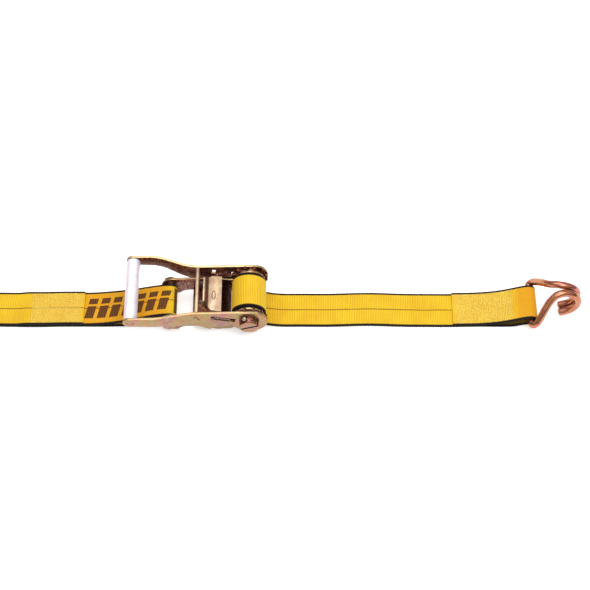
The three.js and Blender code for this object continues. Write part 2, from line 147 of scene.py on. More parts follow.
class Nodes:
    """A material under construction. Each method adds a node or a few, and gives the output socket."""

    def __init__(self, name):
        self.material = bpy.data.materials.new(name)
        self.material.use_nodes = True
        self.tree = self.material.node_tree
        self.shader = self.tree.nodes["Principled BSDF"]

    def add(self, kind, output, inputs, **settings):
        node = self.tree.nodes.new(kind)
        for key, value in settings.items():
            setattr(node, key, value)
        for key, value in inputs.items():
            self.put(node.inputs[key], value)
        return node.outputs[output]

    def put(self, socket, value):
        if isinstance(value, bpy.types.NodeSocket):
            self.tree.links.new(value, socket)
        else:
            socket.default_value = value

    def math(self, operation, *values):
        return self.add("ShaderNodeMath", 0, dict(enumerate(values)), operation=operation)

    def attribute(self, name):
        return self.add("ShaderNodeAttribute", "Fac", {}, attribute_name=name)

    def place(self):
        return self.add("ShaderNodeTexCoord", "Object", {})

    def facing(self):
        return self.add("ShaderNodeTexCoord", "Normal", {})

    def part(self, vector, axis):
        return self.add("ShaderNodeSeparateXYZ", axis, {0: vector})

    def noise(self, scale, detail=3.0, roughness=0.55, vector=None):
        inputs = {"Scale": scale, "Detail": detail, "Roughness": roughness}
        inputs["Vector"] = vector if vector else self.place()
        return self.add("ShaderNodeTexNoise", "Fac", inputs)

    def stretched(self, scale):
        return self.add("ShaderNodeMapping", 0, {"Vector": self.place(), "Scale": scale})

    def fade(self, value, low, high, to_low=0.0, to_high=1.0):
        inputs = {"Value": value, "From Min": low, "From Max": high, "To Min": to_low, "To Max": to_high}
        return self.add("ShaderNodeMapRange", 0, inputs, interpolation_type="SMOOTHSTEP")

    def mix(self, share, a, b):
        node = self.tree.nodes.new("ShaderNodeMix")
        node.data_type = "RGBA"
        self.put(node.inputs[0], share)
        self.put(node.inputs[6], a)
        self.put(node.inputs[7], b)
        return node.outputs[2]

    def times(self, value, *others):
        for other in others:
            value = self.math("MULTIPLY", value, other)
        return value

    def over(self, value, limit):
        return self.math("GREATER_THAN", value, limit)

    def under(self, value, limit):
        return self.math("LESS_THAN", value, limit)

    def size(self, value):
        return self.math("ABSOLUTE", value)

    def patch(self, along, across, low, high, half):
        """1 inside a stretch of webbing between two distances along it, in millimetres."""
        inside = self.times(self.over(along, low * MM), self.under(along, high * MM))
        return self.times(inside, self.under(self.size(across), half * MM))

    def ramp(self, value, stops):
        node = self.tree.nodes.new("ShaderNodeValToRGB")
        self.put(node.inputs[0], value)
        elements = node.color_ramp.elements
        while len(elements) < len(stops):
            elements.new(0.5)
        for element, (position, colour) in zip(elements, stops):
            element.position = position
            element.color = (*colour, 1)
        return node.outputs[0]

    def bump(self, height, strength, distance):
        inputs = {"Height": height, "Strength": strength, "Distance": distance}
        return self.add("ShaderNodeBump", 0, inputs)

    def finish(self, **sockets):
        for key, value in sockets.items():
            self.put(self.shader.inputs[key.replace("_", " ")], value)
        return self.material


def rgb(*screen):
    """Linear colour from a screen colour, 0 to 255."""
    shares = (value / 255 for value in screen)
    return tuple(c / 12.92 if c <= 0.04045 else ((c + 0.055) / 1.055) ** 2.4 for c in shares)


def rgba(*screen):
    return (*rgb(*screen), 1)


class Weave:
    """The sockets that the parts of the webbing's material are worked out from."""

    def __init__(self, n):
        self.along, self.across, self.side = (n.attribute(key) for key in ("along", "across", "side"))
        turn = 2 * math.pi
        rib_phase = n.math("MULTIPLY", self.along, turn / (RIB_PITCH * MM))
        self.rib = n.math("MULTIPLY_ADD", n.math("COSINE", rib_phase), 0.5, 0.5)
        half_phase = n.math("MULTIPLY", rib_phase, 0.5)
        warp_phase = n.math("MULTIPLY_ADD", self.across, turn / (WARP_PITCH * MM), half_phase)
        warp = n.math("MULTIPLY_ADD", n.math("COSINE", warp_phase), 0.5, 0.5)
        self.relief = n.times(self.rib, n.math("MULTIPLY_ADD", warp, 0.55, 0.45))
        self.fine = n.noise(900.0, 2.0, 0.6)


def yellow_dye(n, weave):
    """Yellow that drifts broadly, varies from rib to rib and darkens between the threads, with painted shade in
    the grooves.
    """
    broad = n.noise(38.0, 3.0, 0.6)
    distance = n.math("MULTIPLY", weave.along, 330.0)
    streak = n.add("ShaderNodeTexNoise", "Fac", {"W": distance, "Detail": 2.0}, noise_dimensions="1D")
    yellow = n.mix(n.fade(broad, 0.3, 0.72), rgba(228, 195, 30), rgba(218, 175, 20))
    yellow = n.mix(n.fade(streak, 0.45, 0.75, 0.0, 0.55), yellow, rgba(238, 214, 84))
    yellow = n.mix(n.fade(streak, 0.25, 0.5, 0.5, 0.0), yellow, rgba(204, 148, 12))
    # Painted shade: darker where the weave's relief is low, in the grooves between the threads.
    return n.mix(n.fade(weave.relief, 0.0, 0.75, 0.5, 0.0), yellow, rgba(186, 124, 8))


def with_painted_fold_shade(n, weave, yellow, low, high):
    """A folded stretch between two distances: painted shade, more orange, on its outer face, and a painted dark
    shadow on its inner face.
    """
    blur = 14
    rising = n.fade(weave.along, low * MM, (low + blur) * MM)
    falling = n.fade(weave.along, (high - blur) * MM, high * MM, 1.0, 0.0)
    # Painted shade on the outer face of the fold.
    fold_shade = n.times(rising, falling, n.under(weave.side, 0.5))
    colour = n.mix(fold_shade, yellow, n.mix(0.6, yellow, rgba(206, 128, 10)))
    # Painted shadow on the inner face, inside the loop.
    painted_shadow = n.fade(weave.along, (low - 72) * MM, (low - 48) * MM)
    painted_shadow = n.times(painted_shadow, n.over(weave.side, 0.5), n.under(weave.along, (high + 10) * MM), 0.8)
    return n.mix(painted_shadow, colour, rgba(58, 30, 14))


def with_print(n, weave, colour, blocks, bar):
    """Slanted blocks of ink in two rows and a solid bar, each with its two distances and its half width."""
    slanted = n.math("MULTIPLY_ADD", weave.across, 0.22, weave.along)
    pitch = 17.0
    cell = n.math("FRACT", n.math("DIVIDE", n.math("SUBTRACT", slanted, blocks[0] * MM), pitch * MM))
    row_gap = n.over(n.size(n.math("SUBTRACT", weave.across, 5.0 * MM)), 1.5 * MM)
    block = n.times(n.over(cell, 0.12), n.under(cell, 0.83), row_gap)
    ink = n.times(block, n.patch(slanted, weave.across, *blocks))
    ink = n.math("MAXIMUM", ink, n.patch(weave.along, weave.across, *bar))
    wear_and_top_light = n.fade(n.math("ADD", weave.relief, n.math("MULTIPLY", weave.fine, 0.6)), 0.1, 1.25, 1.0, 0.8)
    return n.mix(n.times(ink, wear_and_top_light, n.under(weave.side, -0.5)), colour, rgba(64, 26, 18))


def with_tracer(n, weave, colour, face):
    """A thin dark line down the middle of one face: 1 is the one on the strap's normal and -1 the other."""
    wander = n.math("MULTIPLY_ADD", n.noise(45.0), 0.0012, -0.0006)
    off = n.size(n.math("SUBTRACT", weave.across, wander))
    line = n.times(n.fade(off, 0.35 * MM, 0.9 * MM, 0.9, 0.0), n.over(n.times(weave.side, face), 0.5))
    return n.mix(line, colour, rgba(98, 48, 12))


def with_selvages(n, weave, colour):
    ragged = n.math("MULTIPLY_ADD", weave.fine, 0.9 * MM, n.math("MULTIPLY", weave.rib, 0.6 * MM))
    edge = n.math("ADD", n.size(weave.across), n.math("SUBTRACT", ragged, 0.75 * MM))
    inner = (WEB_WIDTH / 2 - SELVAGE) * MM
    selvage = n.fade(edge, inner - 0.25 * MM, inner + 0.35 * MM)
    return n.mix(selvage, colour, n.mix(n.fade(weave.fine, 0.45, 0.75), rgba(9, 5, 4), rgba(34, 20, 14)))


def webbing_material(name, tracer_face=0, prints=(), fold=None):
    """Woven polyester: cross ribs, black selvages, a tracer line or blocks of ink where there are any, and
    painted shade on a folded stretch where fold is given.
    """
    n = Nodes(name)
    weave = Weave(n)
    colour = yellow_dye(n, weave)
    if fold:
        colour = with_painted_fold_shade(n, weave, colour, *fold)
    if prints:
        colour = with_print(n, weave, colour, *prints)
    if tracer_face:
        colour = with_tracer(n, weave, colour, tracer_face)
    colour = with_selvages(n, weave, colour)
    rough = n.fade(weave.fine, 0.2, 0.8, 0.56, 0.74)
    height = n.math("ADD", n.math("MULTIPLY", weave.relief, 0.8), n.math("MULTIPLY", weave.fine, 0.35))
    n.shader.inputs["Sheen Weight"].default_value = 0.02
    n.shader.inputs["Sheen Roughness"].default_value = 0.45
    n.shader.inputs["Specular IOR Level"].default_value = 0.2
    return n.finish(Base_Color=colour, Roughness=rough, Normal=n.bump(height, 0.55, 0.0005))


def thread_material(name, light, dark):
    n = Nodes(name)
    twist = n.noise(1400.0, 2.0, 0.6)
    shade = n.math("MULTIPLY_ADD", twist, 0.35, n.math("MULTIPLY", n.noise(700.0), 0.65))
    colour = n.mix(n.fade(shade, 0.38, 0.6), dark, light)
    rough = n.fade(twist, 0.3, 0.7, 0.45, 0.65)
    n.shader.inputs["Sheen Weight"].default_value = 0.2
    return n.finish(Base_Color=colour, Roughness=rough, Normal=n.bump(twist, 0.4, 0.0003))


MAROON = [
    (0.32, rgb(48, 20, 16)),
    (0.42, rgb(126, 66, 52)),
    (0.49, rgb(70, 34, 28)),
    (0.57, rgb(170, 112, 84)),
    (0.65, rgb(58, 32, 30)),
]


def facing_inward(n):
    """1 on faces that look towards the ratchet's middle plane, where painted shade goes."""
    away = n.math("MULTIPLY", n.part(n.facing(), "Y"), n.math("SIGN", n.part(n.place(), "Y")))
    return n.fade(away, -0.75, -0.35, 1.0, 0.0)


def tabs_and_bend(n):
    """1 on a pawl's tabs outside the frame plates, and in the bend below its finger lip: painted shade in the
    slots and under the lip.
    """
    place = n.place()
    tab = n.fade(n.size(n.part(place, "Y")), 25.6 * MM, 26.8 * MM)
    back = n.part(place, "X")
    before, behind = n.fade(back, -54.2 * MM, -53.2 * MM, 0.8, 0.0), n.fade(back, -59.0 * MM, -57.8 * MM)
    bend = n.times(before, behind)
    return n.math("MAXIMUM", tab, bend)


def round_the_bar(n):
    """1 all over a bar along Y except on its ends: a painted dark reflection on its barrel."""
    return n.fade(n.size(n.part(n.facing(), "Y")), 0.5, 0.8, 1.0, 0.0)


def leaning_back(n):
    """1 on faces that look away from the ratchet, towards the fixed hook: painted shade on the grip's side away
    from the light.
    """
    return n.fade(n.part(n.facing(), "X"), -1.0, -0.35, 0.85, 0.0)


def zinc_material(
    name,
    stops,
    scale=42.0,
    rough=(0.24, 0.42),
    speckle=0.35,
    dark=(80, 50, 34),
    metallic=0.9,
    shaded=None,
    shade_stops=MAROON,
    edge=0.0,
):
    """Chromated zinc plate: a colour that drifts through the film's tints, speckle and scratches.

    Faces that look up are paler, by edge: a painted highlight of the light from above. Where shaded gives 1 the
    film is a darker one,
    flecked with bright metal: painted shade on faces that the light reaches less.
    """
    n = Nodes(name)
    drift = n.noise(scale, 4.0, 0.62)
    film = n.ramp(drift, stops)
    # Painted highlight: faces that look up are mixed towards a pale cream, by edge.
    wear_and_top_light = n.fade(n.part(n.facing(), "Z"), 0.6, 0.98, 0.0, edge)
    film = n.mix(wear_and_top_light, film, rgba(226, 200, 150))
    # Painted shade: where shaded gives 1, a darker flecked film.
    if shaded:
        shade_film = n.ramp(n.noise(210.0, 4.0, 0.7), shade_stops)
        fleck = n.fade(n.noise(620.0, 2.0, 0.55), 0.61, 0.67, 0.0, 0.85)
        shade_film = n.mix(fleck, shade_film, rgba(226, 184, 168))
        film = n.mix(shaded(n), film, shade_film)
    grain = n.noise(760.0, 3.0, 0.65)
    patch = n.noise(150.0, 4.0, 0.7)
    mark = n.fade(n.math("MULTIPLY", grain, patch), 0.30, 0.42, 0.0, speckle)
    colour = n.mix(mark, film, rgba(*dark))
    scratch = n.noise(1.0, 2.0, 0.5, n.stretched((90.0, 900.0, 1500.0)))
    scored = n.fade(scratch, 0.66, 0.72, 0.0, 0.35)
    colour = n.mix(scored, colour, rgba(236, 214, 182))
    roughness = n.fade(n.math("MULTIPLY_ADD", patch, 0.6, n.math("MULTIPLY", grain, 0.4)), 0.3, 0.7, *rough)
    height = n.math("ADD", n.math("MULTIPLY", grain, 0.5), n.math("MULTIPLY", scratch, 0.4))
    n.shader.inputs["Metallic"].default_value = metallic
    return n.finish(Base_Color=colour, Roughness=roughness, Normal=n.bump(height, 0.22, 0.00025))


def make_materials():
    tan = [
        (0.30, rgb(138, 96, 62)),
        (0.41, rgb(166, 124, 82)),
        (0.48, rgb(142, 130, 84)),
        (0.54, rgb(170, 118, 90)),
        (0.61, rgb(140, 104, 104)),
        (0.70, rgb(174, 138, 92)),
    ]
    cream = [
        (0.30, rgb(182, 146, 106)),
        (0.46, rgb(206, 180, 146)),
        (0.56, rgb(192, 160, 136)),
        (0.70, rgb(174, 138, 98)),
    ]
    copper = [
        (0.30, rgb(146, 88, 62)),
        (0.43, rgb(186, 122, 96)),
        (0.50, rgb(172, 116, 72)),
        (0.57, rgb(184, 104, 102)),
        (0.68, rgb(206, 148, 122)),
    ]
    black = [(0.35, rgb(22, 11, 12)), (0.5, rgb(74, 42, 36)), (0.62, rgb(30, 16, 16))]
    shade = [(0.3, rgb(38, 17, 16)), (0.5, rgb(92, 52, 48)), (0.66, rgb(46, 24, 24))]
    ink = [(0.4, rgb(46, 26, 20)), (0.6, rgb(86, 52, 36))]
    # Pink painted shade for the grip's side away from the light.
    blush = [(0.35, rgb(196, 164, 168)), (0.6, rgb(222, 198, 204))]
    grey = [(0.3, rgb(132, 118, 106)), (0.5, rgb(178, 164, 150)), (0.7, rgb(146, 126, 110))]
    white = [(0.3, rgb(226, 220, 232)), (0.5, rgb(240, 234, 240)), (0.7, rgb(216, 208, 226))]
    return {
        "yellow_zinc": zinc_material("yellow_zinc", tan),
        # Both paint a highlight on faces that look up and shade on inner faces; the far arm's highlight is
        # stronger.
        "side_zinc": zinc_material("side_zinc", tan, shaded=facing_inward, edge=0.3),
        "top_lit_zinc": zinc_material("top_lit_zinc", tan, shaded=facing_inward, edge=0.75),
        "bar_zinc": zinc_material("bar_zinc", tan, shaded=round_the_bar),
        "dark_zinc": zinc_material("dark_zinc", MAROON, scale=190.0, speckle=0.7, dark=(36, 20, 16)),
        "shadow_zinc": zinc_material("shadow_zinc", black, scale=210.0, dark=(16, 8, 8)),
        "pale_zinc": zinc_material("pale_zinc", cream, speckle=0.3, dark=(150, 116, 84), rough=(0.32, 0.5)),
        "pawl_zinc": zinc_material(
            "pawl_zinc",
            cream,
            speckle=0.3,
            dark=(140, 104, 74),
            rough=(0.32, 0.5),
            shaded=tabs_and_bend,
            shade_stops=shade,
        ),
        "stamp": zinc_material("stamp", ink, metallic=0.15, rough=(0.6, 0.8)),
        "hook_zinc": zinc_material("hook_zinc", copper, scale=34.0, rough=(0.16, 0.3), speckle=0.14),
        "spring_steel": zinc_material("spring_steel", grey, speckle=0.2, dark=(70, 64, 60)),
        "plated_grip": zinc_material(
            "plated_grip",
            white,
            speckle=0.2,
            dark=(160, 150, 164),
            metallic=0.25,
            rough=(0.3, 0.45),
            shaded=leaning_back,
            shade_stops=blush,
        ),
        "webbing": webbing_material("webbing"),
        "stitching": thread_material("stitching", rgba(252, 236, 134), rgba(184, 134, 14)),
    }


# ---------------------------------------------------------------- carried-over CAD metal


def smoothing_group():
    """A modifier that shades faces smooth and keeps edges over 38 degrees sharp."""
    group = bpy.data.node_groups.new("smooth_by_angle", "GeometryNodeTree")
    group.interface.new_socket("Geometry", in_out="INPUT", socket_type="NodeSocketGeometry")
    group.interface.new_socket("Geometry", in_out="OUTPUT", socket_type="NodeSocketGeometry")
    nodes, links = group.nodes, group.links
    start, end = nodes.new("NodeGroupInput"), nodes.new("NodeGroupOutput")
    faces = nodes.new("GeometryNodeSetShadeSmooth")
    faces.domain = "FACE"
    edges = nodes.new("GeometryNodeSetShadeSmooth")
    edges.domain = "EDGE"
    edges.inputs["Shade Smooth"].default_value = False
    angle = nodes.new("GeometryNodeInputMeshEdgeAngle")
    over = nodes.new("FunctionNodeCompare")
    over.operation = "GREATER_THAN"
    over.inputs[1].default_value = SHARP_EDGE
    links.new(start.outputs[0], faces.inputs["Geometry"])
    links.new(faces.outputs[0], edges.inputs["Geometry"])
    links.new(angle.outputs["Unsigned Angle"], over.inputs[0])
    links.new(over.outputs[0], edges.inputs["Selection"])
    links.new(edges.outputs[0], end.inputs[0])
    return group


def dress_node(name, material, group, bevel):
    """Gives a CAD node its material, rounded edges and smooth shading."""
    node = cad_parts[name]
    node.data.materials.clear()
    node.data.materials.append(material)
    weld = node.modifiers.new("weld", "WELD")
    weld.merge_threshold = 0.00002
    if bevel:
        rounding = node.modifiers.new("rounding", "BEVEL")
        rounding.width = bevel * MM
        rounding.segments = 3
        rounding.limit_method = "ANGLE"
        rounding.angle_limit = SHARP_EDGE
        rounding.use_clamp_overlap = True
    smooth = node.modifiers.new("smooth", "NODES")
    smooth.node_group = group


def dress_metal(materials):
    group = smoothing_group()
    looks = {
        "frame_plate_near": ("side_zinc", 0.45),
        "frame_plate_far": ("side_zinc", 0.45),
        # The base plate's dark film is painted shade, where it lies in shadow between the pawl and the roll.
        "frame_base": ("dark_zinc", 0.4),
        "anchor_bolt": ("yellow_zinc", 0.5),
        "anchor_nut": ("yellow_zinc", 0.5),
        "anchor_sleeve": ("spring_steel", 0.4),
        "mandrel_half_upper": ("bar_zinc", 0.6),
        "mandrel_half_lower": ("bar_zinc", 0.6),
        "ratchet_wheel_near": ("dark_zinc", 0.4),
        "ratchet_wheel_far": ("dark_zinc", 0.4),
        "cotter_pin_near": ("spring_steel", 0.25),
        "cotter_pin_far": ("spring_steel", 0.25),
        "handle_arm_near": ("side_zinc", 0.6),
        "handle_arm_far": ("top_lit_zinc", 0.6),
        "grip_rod": ("yellow_zinc", 0.5),
        "crossbar": ("pale_zinc", 0.6),
        "drive_pawl": ("pawl_zinc", 0.5),
        "lock_pawl": ("shadow_zinc", 0.5),
    }
    for name, (material, bevel) in looks.items():
        dress_node(name, materials[material], group, bevel)


# ---------------------------------------------------------------- meshes


def new_piece(name, vertices, faces, material, attributes=None):
    mesh = bpy.data.meshes.new(name)
    mesh.from_pydata([tuple(v) for v in vertices], [], faces)
    mesh.validate()
    mesh.shade_smooth()
    for key, values in (attributes or {}).items():
        attribute = mesh.attributes.new(key, "FLOAT", "POINT")
        attribute.data.foreach_set("value", np.asarray(values, np.float32))
    mesh.materials.append(material)
    piece = bpy.data.objects.new(name, mesh)
    bpy.context.scene.collection.objects.link(piece)
    return piece


def tube(points, radius, sides):
    """Rings of vertices along a line of points, carried round its bends without twisting, and their faces."""
    points = np.asarray(points, float)
    ahead = np.gradient(points, axis=0)
    ahead /= np.linalg.norm(ahead, axis=1)[:, None]
    radii = np.broadcast_to(radius, len(points))
    side = np.cross(ahead[0], (0.0, 0.0, 1.0))
    if np.linalg.norm(side) < 1e-6:
        side = np.array((1.0, 0.0, 0.0))
    vertices, faces = [], []
    for i, (point, forward) in enumerate(zip(points, ahead)):
        side = side - forward * (side @ forward)
        side /= np.linalg.norm(side)
        up = np.cross(side, forward)
        for k in range(sides):
            angle = 2 * math.pi * k / sides
            vertices.append(point + radii[i] * (math.cos(angle) * side + math.sin(angle) * up))
    for i in range(len(points) - 1):
        for k in range(sides):
            a, b = i * sides + k, i * sides + (k + 1) % sides
            faces.append((a, b, b + sides, a + sides))
    faces.append(tuple(range(sides)))
    last = (len(points) - 1) * sides
    faces.append(tuple(last + k for k in reversed(range(sides))))
    return vertices, faces


def joined(meshes):
    """Several meshes as one."""
    vertices, faces = [], []
    for more, corners in meshes:
        base = len(vertices)
        vertices.extend(more)
        faces.extend(tuple(base + c for c in face) for face in corners)
    return vertices, faces


def rounded_ends(points, radius, steps):
    """Extends a wire by a dome at each end: gives its points and their radii."""
    points = [np.asarray(p, float) for p in points]
    start = points[0] - points[1]
    start /= np.linalg.norm(start)
    end = points[-1] - points[-2]
    end /= np.linalg.norm(end)
    angles = [math.pi / 2 * (i + 1) / steps * 0.97 for i in range(steps)]
    before = [points[0] + start * radius * math.sin(a) for a in reversed(angles)]
    after = [points[-1] + end * radius * math.sin(a) for a in angles]
    domes = [radius * math.cos(a) for a in angles]
    return before + points + after, np.array(list(reversed(domes)) + [radius] * len(points) + domes)


# ---------------------------------------------------------------- webbing


class Route:
    """The middle line of a strap in X and Z, in millimetres."""

    def __init__(self, x, z):
        self.points = [(x, z)]

    def line(self, x, z):
        self.points.append((x, z))

    def bezier(self, *controls):
        p0 = np.array(self.points[-1])
        p1, p2, p3 = (np.array(controls[i : i + 2]) for i in (0, 2, 4))
        for t in np.linspace(0, 1, 41)[1:]:
            u = 1 - t
            self.points.append(tuple(u**3 * p0 + 3 * u * u * t * p1 + 3 * u * t * t * p2 + t**3 * p3))

    def arc(self, x, z, radius, start, end):
        for angle in np.radians(np.linspace(start, end, max(8, int(abs(end - start) / 4)))):
            self.points.append((x + radius * math.cos(angle), z + radius * math.sin(angle)))

    def sampled(self, step):
        """Evenly spaced points, the direction at each, and the distance along."""
        points = np.array(self.points)
        length = np.concatenate([[0], np.cumsum(np.linalg.norm(np.diff(points, axis=0), axis=1))])
        keep = np.concatenate([[True], np.diff(length) > 1e-6])
        points, length = points[keep], length[keep]
        along = np.linspace(0, length[-1], int(round(length[-1] / step)) + 1)
        place = np.column_stack([np.interp(along, length, points[:, k]) for k in (0, 1)])
        ahead = np.gradient(place, axis=0)
        kernel = np.ones(5) / 5
        padded = [np.pad(ahead[:, k], 2, "edge") for k in (0, 1)]
        smooth = np.column_stack([np.convolve(line, kernel, "valid") for line in padded])
        return place, smooth / np.linalg.norm(smooth, axis=1)[:, None], along


class Strap:
    """A length of webbing along a route, with crosswise ribs, rounded selvages and gentle waves."""

    STEP = RIB_PITCH / 6
    COLUMNS = 14
    EDGE = 4

    def __init__(self, route):
        self.place, self.ahead, self.along = route.sampled(self.STEP)
        self.normal = np.column_stack([-self.ahead[:, 1], self.ahead[:, 0]])
        self.width = np.full(len(self.along), WEB_WIDTH)
        self.shift = np.zeros(len(self.along))
        self.lift = np.zeros(len(self.along))

    def section(self):
        """Corners of the cross-section: across to the rounding, out past it, height, and face."""
        corners = []
        for face in (1.0, -1.0):
            for v in np.linspace(-face, face, self.COLUMNS + 1):
                corners.append((v, 0.0, face, face))
            for k in range(1, self.EDGE):
                angle = face * math.pi / 2 - math.pi * k / self.EDGE
                corners.append((face, math.cos(angle), math.sin(angle), 0.0))
        return corners

    def surface(self, i, across, height):
        x, z = self.place[i]
        nx, nz = self.normal[i]
        h = height + self.lift[i]
        return np.array((x + nx * h, across + self.shift[i], z + nz * h)) * MM

    def mesh(self):
        corners = self.section()
        vertices, along, across, side = [], [], [], []
        half_thick = WEB_THICK / 2
        for i, s in enumerate(self.along):
            rib = 0.10 * math.cos(2 * math.pi * s / RIB_PITCH)
            bobble = 0.28 * math.cos(2 * math.pi * s / (1.5 * RIB_PITCH)) + 0.12 * math.sin(s * 1.37)
            half = self.width[i] / 2 - half_thick
            for v, out, up, face in corners:
                y = v * half + out * (half_thick + bobble)
                edge = max(0.0, abs(v) * half - (half - 2.2)) / 2.2
                height = up * (half_thick - 0.10 + rib * (1 - 0.6 * edge) + 0.12 * edge)
                vertices.append(self.surface(i, y, height))
                along.append(s * MM)
                across.append(y / self.width[i] * WEB_WIDTH * MM)
                side.append(face)
        count = len(corners)
        faces = []
        for i in range(len(self.along) - 1):
            for k in range(count):
                a, b = i * count + k, i * count + (k + 1) % count
                faces.append((a, a + count, b + count, b))
        last = (len(self.along) - 1) * count
        faces.append(tuple(range(count)))
        faces.append(tuple(last + k for k in reversed(range(count))))
        return vertices, faces, {"along": along, "across": across, "side": side}

    def length(self):
        return float(self.along[-1]) * MM


def flip_if_inside_out(piece):
    work = bmesh.new()
    work.from_mesh(piece.data)
    if work.calc_volume(signed=True) < 0:
        bmesh.ops.reverse_faces(work, faces=work.faces)
    work.to_mesh(piece.data)
    work.free()
    piece.data.shade_smooth()


def add_strap(name, strap, material, body, node):
    vertices, faces, attributes = strap.mesh()
    piece = new_piece(name, vertices, faces, material, attributes)
    flip_if_inside_out(piece)
    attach(piece, body)
    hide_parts(node)
    return piece


def load_route():
    under = AXIS_Z - ROLL_R - 0.3 - WEB_THICK / 2
    route = Route(-3, under)
    route.bezier(20, under, 22, LAYER_1, 50, LAYER_1)
    route.line(HOOK_X - 30, LAYER_1)
    low, high = HOOK_BAR_Z - LOOP_R, HOOK_BAR_Z + LOOP_R
    route.bezier(HOOK_X - 16, LAYER_1, HOOK_X - 12, low, HOOK_X, low)
    route.arc(HOOK_X, HOOK_BAR_Z, LOOP_R, -90, 90)
    route.bezier(HOOK_X - 14, high, HOOK_X - 30, LAYER_2 + EYE_RISE, HOOK_X - 78, LAYER_2)
    route.line(HEM_X, LAYER_2)
    return route


def fixed_route():
    route = Route(FIXED_HEM_X, LAYER_3)
    route.line(FIXED_TAIL_X + 2, LAYER_3)
    route.bezier(FIXED_TAIL_X - 5, LAYER_3, FIXED_TAIL_X - 9, LAYER_2, FIXED_TAIL_X - 18, LAYER_2)
    route.line(34 - HOOK_X, LAYER_2)
    low, high = HOOK_BAR_Z - LOOP_R, HOOK_BAR_Z + LOOP_R
    route.bezier(16 - HOOK_X, LAYER_2, 14 - HOOK_X, high, -HOOK_X, high)
    route.arc(-HOOK_X, HOOK_BAR_Z, LOOP_R, 90, 270)
    route.bezier(12 - HOOK_X, low, 16 - HOOK_X, LAYER_1, 30 - HOOK_X, LAYER_1)
    route.line(-152, LAYER_1)
    route.bezier(-130, LAYER_1, -122, BOLT_Z - ANCHOR_R, BOLT_X, BOLT_Z - ANCHOR_R)
    route.arc(BOLT_X, BOLT_Z, ANCHOR_R, -90, 90)
    route.bezier(-135, BOLT_Z + ANCHOR_R, -165, LAYER_2, -224, LAYER_2)
    route.line(FIXED_TAIL_X, LAYER_2)
    return route


def roll_route():
    """Webbing wound on the mandrel, from its slot out to the underside, where the load strap leaves."""
    first, last = ROLL_BORE + WEB_THICK / 2 + 0.1, ROLL_R - WEB_THICK / 2
    end = math.radians(-98)
    turns = (last - first) / (WEB_THICK + 0.12)
    start = end - 2 * math.pi * turns
    angles = np.linspace(start, end, 260)
    points = []
    for i, angle in enumerate(angles):
        radius = first + (last - first) * i / (len(angles) - 1)
        points.append((radius * math.cos(angle), AXIS_Z + radius * math.sin(angle)))
    route = Route(*points[0])
    route.points = points
    return route


def bumpy(values, seed, reach):
    """A smooth wave that never repeats, from sines of set phases."""
    return sum(np.sin(values / reach * f + seed * f * 1.7) / (k + 1) for k, f in enumerate((1.0, 1.73, 2.61)))


def zigzag(strap, from_s, to_s, middle, face):
    """One line of thread that dips into a strap's face at each of its corners."""
    lift = WEB_THICK / 2 + 0.06
    count = int(abs(to_s - from_s) / STITCH_PITCH)
    knots = []
    for k in range(count + 1):
        s = from_s + (to_s - from_s) * k / count
        knots.append((s, middle + (STITCH_SWING if k % 2 else -STITCH_SWING)))
    points = []
    for (s0, v0), (s1, v1) in zip(knots, knots[1:]):
        for t in (0.0, 0.2, 0.5, 0.8):
            arch = 0.30 * math.sin(math.pi * max(t, 0.02)) - 0.12
            s, v = s0 + (s1 - s0) * t, v0 + (v1 - v0) * t
            i = int(np.clip(round(s / strap.along[1]), 0, len(strap.along) - 1))
            points.append(strap.surface(i, v, face * (lift + arch)))
    return tube(points, THREAD_R * MM, 6)


def build_stitching(name, strap, from_s, to_s, material):
    """Rows of zigzag stitches on the face against a strap's normal, which is the outer one at its hem."""
    meshes = []
    for row in range(STITCH_ROWS):
        middle = -STITCH_HALF + 2 * STITCH_HALF * row / (STITCH_ROWS - 1)
        meshes.append(zigzag(strap, from_s, to_s, middle, -1))
    piece = new_piece(name, *joined(meshes), material)
    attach(piece, "frame")
    return piece


def between(x, start, reach):
    """0 up to start and 1 from a reach beyond it, straight between. A negative reach turns it round."""
    return np.clip((x - start) / reach, 0, 1)


def build_load_strap(materials):
    strap = Strap(load_route())
    x, hem = strap.place[:, 0], strap.along[-1]
    free = between(x, 60, 40) * between(x, HOOK_X - 45, -60)
    strap.shift = free * 0.55 * bumpy(x, 2.0, 34.0)
    single = between(x, 55, 30) * between(x, HEM_X - 12, -30)
    strap.lift = single * (0.35 + 0.22 * bumpy(x, 5.0, 27.0))
    # Painted fold shade on the loop round the hook bar.
    traced = webbing_material("webbing_traced", tracer_face=1, fold=(hem - 132, hem - 80))
    piece = add_strap("load_webbing", strap, traced, "frame", "load_strap")
    stitches = build_stitching("load_stitching", strap, hem - 3, hem - 82, materials["stitching"])


def build_fixed_strap(materials):
    strap = Strap(fixed_route())
    x, end = strap.place[:, 0], strap.along[-1]
    strap.width = WEB_WIDTH - 3.2 * between(x, -190, 60)
    strap.shift = 0.3 * bumpy(x, 1.0, 30.0) * between(x, -150, -40)
    # Painted fold shade on the loop round the anchor bolt.
    marked = webbing_material(
        "webbing_marked",
        tracer_face=-1,
        prints=[(end - 196, end - 78, 15), (end - 212, end - 201, 20)],
        fold=(end - 200, end - 60),
    )
    piece = add_strap("fixed_webbing", strap, marked, "frame", "fixed_strap")
    stitches = build_stitching("fixed_stitching", strap, 3, 70, materials["stitching"])


def build_roll(materials):
    strap = Strap(roll_route())
    strap.width[:] = ROLL_WIDTH
    strap.shift[:] = -0.6
    piece = add_strap("webbing_roll", strap, materials["webbing"], "spool", "wound_webbing")


# ---------------------------------------------------------------- hooks


